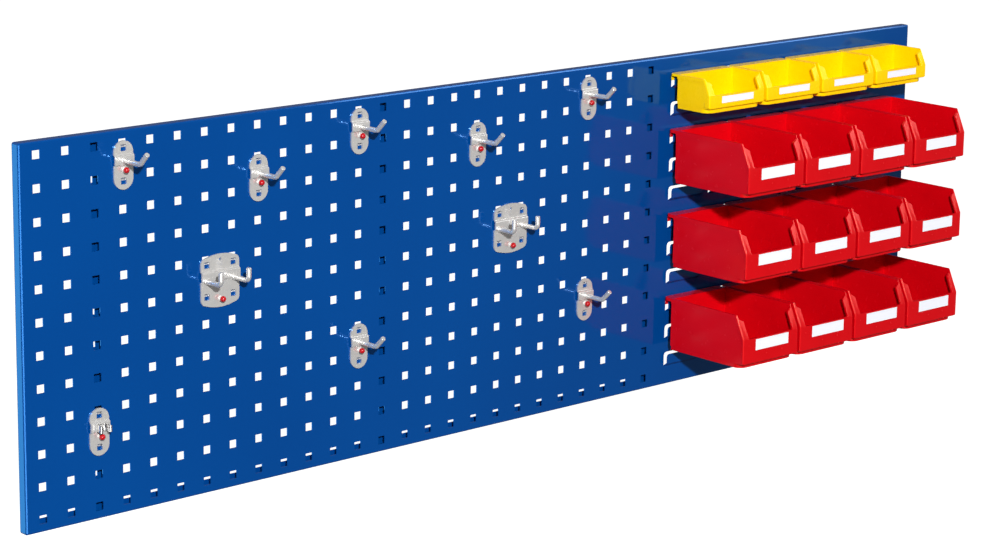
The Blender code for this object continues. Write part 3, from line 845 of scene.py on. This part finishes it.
def make_lights():
    """A small key for crisp shadows, soft fill and rear lights, and gleams that show only as reflections."""
    middle = -0.22
    left_end = (CAD_BOX[0].x, 0, middle)
    area_light("key", (-3.09, -4.55, 2.05), (0.1, 0, middle), 0.22, 0.22, 440)
    area_light("fill", (2.2, -2.4, 0.3), (0.1, 0, middle), 1.6, 1.6, 4)
    area_light("rear", (-0.6, 2.2, 0.2), (0, 0, middle), 1.8, 1.2, 22)
    gleams = [
        area_light("left_gleam", (-3.1, -2.2, -0.65), (-0.4, 0, middle), 1.6, 1.6, 30),
        area_light("fold_gleam", (-1.6, -3.8, -1.25), left_end, 0.6, 1.5, 22),
        area_light("edge_gleam", (2.5, -2.08, 1.33), (0.25, 0, 0), 1.3, 1.1, 26),
        area_light("flange_gleam", (-2.03, 2.05, -0.82), left_end, 1.0, 1.2, 12, (0.1, 0.65, 1.0)),
    ]
    for light in gleams:
        light.visible_diffuse = False


def make_floor():
    made = bmesh.new()
    bmesh.ops.create_grid(made, x_segments=1, y_segments=1, size=20)
    floor = helper(as_mesh(made, "floor"))
    drop = 0.80
    floor.location.z = CAD_BOX[0].z - drop
    finish = Finish("pale_floor", Roughness=0.8, Emission_Strength=0.75)
    finish.shader.inputs["Emission Color"].default_value = (1, 1, 1, 1)
    finish.colour(finish.blend(finish.noise(2.0), (0.86, 0.86, 0.86), (0.9, 0.9, 0.9)))
    floor.data.materials.append(finish.material)
    floor.visible_glossy = False
    floor.visible_diffuse = False


def make_camera():
    """The camera stands left of the wall and a little above it; up is worked out from forward and right."""
    data = bpy.data.cameras.new("camera")
    data.sensor_fit, data.sensor_width, data.lens = "HORIZONTAL", 36.0, 104.05
    data.shift_y = -0.04
    data.clip_start, data.clip_end = 0.05, 100
    camera = bpy.data.objects.new("camera", data)
    forward = Vector((0.65520, 0.72315, -0.21857)).normalized()
    right = Vector((0.74315, -0.66897, 0.01437))
    right = (right - forward * right.dot(forward)).normalized()
    up = right.cross(forward)
    turn = Matrix((right, up, -forward)).transposed().to_4x4()
    place = (-2.42925, -2.65664, 0.59849)
    camera.matrix_world = Matrix.Translation(place) @ turn
    bpy.context.scene.collection.objects.link(camera)
    bpy.context.scene.camera = camera


BLUE = powder_coat()
ZINC = zinc()
SPRING = spring_steel()
PLUG = plug_plastic()
RED = plastic("red_bin_plastic", (0.60, 0.0, 0.004), (0.67, 0.001, 0.006), 0.25, (1.0, 0.45, 0.33, 1))
YELLOW = plastic("yellow_bin_plastic", (1.0, 0.60, 0.0), (1.0, 0.65, 0.0), 0.28, (1.0, 0.8, 0.15, 1))
CARD = card_stock()

repaint("panel", BLUE)
for node in NODES:
    if node.startswith("stiffener_"):
        repaint(node, BLUE)
make_single_hooks(ZINC)
make_double_hooks(ZINC)
make_clip(ZINC, SPRING)
make_plugs(PLUG)
make_bins("red", RED_BIN, RED, CARD)
make_bins("yellow", YELLOW_BIN, YELLOW, CARD)

make_world()
make_lights()
make_floor()
make_camera()
bpy.context.scene.view_settings.view_transform = "Standard"
